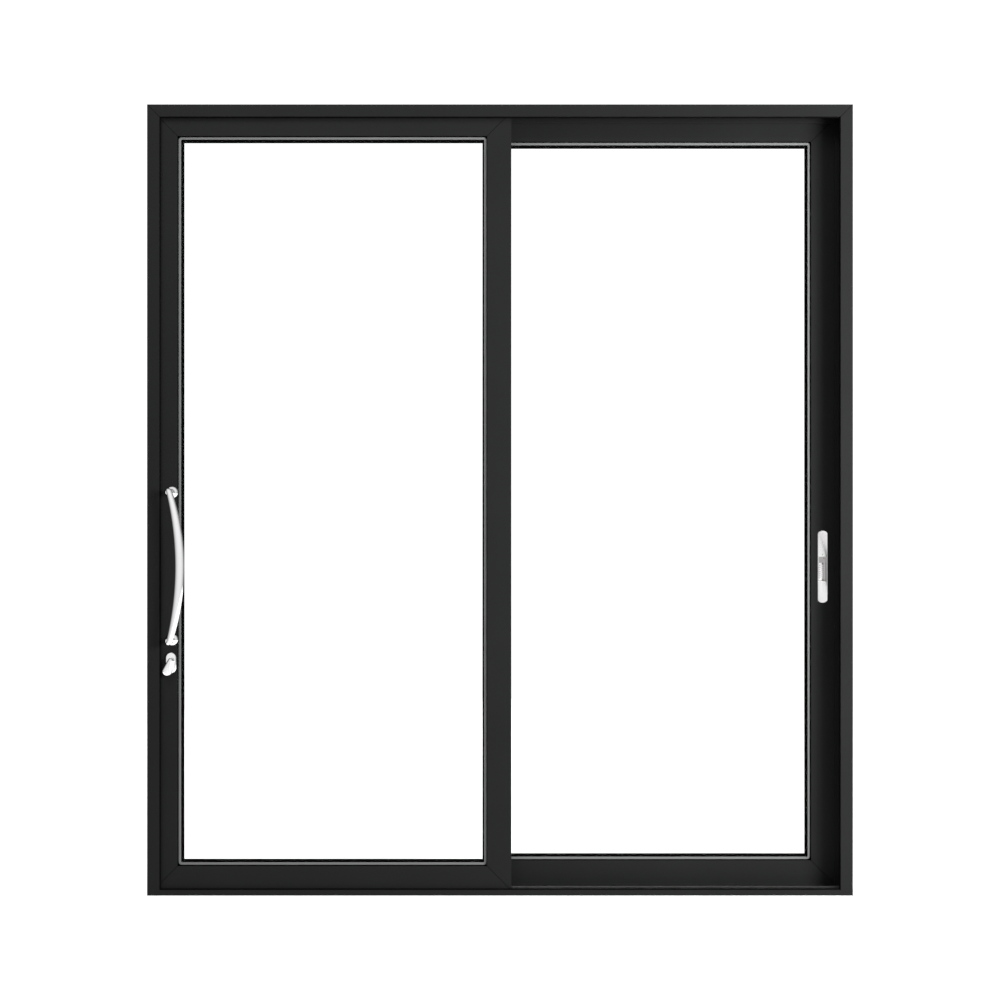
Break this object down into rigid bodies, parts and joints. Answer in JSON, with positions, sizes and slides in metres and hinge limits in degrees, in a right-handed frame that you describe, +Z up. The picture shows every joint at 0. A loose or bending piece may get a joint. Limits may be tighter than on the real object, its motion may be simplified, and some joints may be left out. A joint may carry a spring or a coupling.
{
  "type": "glass sliding patio door",
  "caption": "Two-track sliding patio door: hollow black frame, a front and a rear glazed panel on rollers, a bowed chrome pull, a thumb turn and a flush pull with a sliding catch.",
  "frame": {"origin": "centre of the sill's underside, midway between the jambs and through the frame's depth", "axes": "+X to the right as seen from the side with the pull handle, +Y through the frame away from that side, +Z up"},
  "size_m": [1.8, 0.169, 2.018],
  "materials": {
    "frame_aluminium": "satin",
    "panel_aluminium": "satin",
    "track_steel": "satin",
    "pile": "matte",
    "gasket": "matte",
    "spacer": "matte",
    "glass": "gloss",
    "interlock_aluminium": "satin",
    "roller_steel": "satin",
    "wheel_nylon": "satin",
    "handle_chrome": "polished",
    "plate_steel": "satin",
    "pull_metal": "satin",
    "catch_metal": "satin"
  },
  "bodies": {
    "frame": {"head": "frame_aluminium", "left_jamb": "frame_aluminium", "right_jamb": "frame_aluminium", "sill": "frame_aluminium", "front_track": "track_steel", "rear_track": "track_steel", "head_weatherstrips": "pile", "left_jamb_weatherstrips": "pile", "right_jamb_weatherstrips": "pile", "sill_weatherstrips": "pile", "lock_keeper": "plate_steel", "latch_keeper": "plate_steel"},
    "front_panel": {"front_lock_stile": "panel_aluminium", "front_meeting_stile": "panel_aluminium", "front_top_rail": "panel_aluminium", "front_bottom_rail": "panel_aluminium", "front_glazing_bead": "panel_aluminium", "front_gaskets": "gasket", "front_glass_front_pane": "glass", "front_glass_back_pane": "glass", "front_glass_spacer": "spacer", "front_interlock": "interlock_aluminium", "front_roller_housings": "roller_steel", "front_roller_wheels": "wheel_nylon", "lock_faceplate": "plate_steel", "pull_handle_posts": "handle_chrome", "pull_handle_bar": "handle_chrome", "lock_rose": "handle_chrome"},
    "rear_panel": {"rear_latch_stile": "panel_aluminium", "rear_meeting_stile": "panel_aluminium", "rear_top_rail": "panel_aluminium", "rear_bottom_rail": "panel_aluminium", "rear_glazing_bead": "panel_aluminium", "rear_gaskets": "gasket", "rear_glass_front_pane": "glass", "rear_glass_back_pane": "glass", "rear_glass_spacer": "spacer", "rear_interlock": "interlock_aluminium", "rear_roller_housings": "roller_steel", "rear_roller_wheels": "wheel_nylon", "latch_faceplate": "plate_steel", "flush_pull_plate": "pull_metal", "flush_pull_cup": "pull_metal"},
    "thumb_turn": {"thumb_turn": "handle_chrome"},
    "latch_catch": {"latch_catch": "catch_metal"}
  },
  "joints": [
    {"name": "front_panel_slide", "type": "slide", "parent": "frame", "child": "front_panel", "axis": [1, 0, 0], "range_m": [0, 0.84]},
    {"name": "rear_panel_slide", "type": "slide", "parent": "frame", "child": "rear_panel", "axis": [1, 0, 0], "range_m": [-0.78, 0.0167]},
    {"name": "thumb_turn_pivot", "type": "hinge", "parent": "front_panel", "child": "thumb_turn", "pos_m": [-0.8423, -0.059, 0.592], "axis": [0, -1, 0], "range_deg": [0, 90]},
    {"name": "latch_catch_slide", "type": "slide", "parent": "rear_panel", "child": "latch_catch", "axis": [0, 0, 1], "range_m": [0, 0.014]}
  ]
}
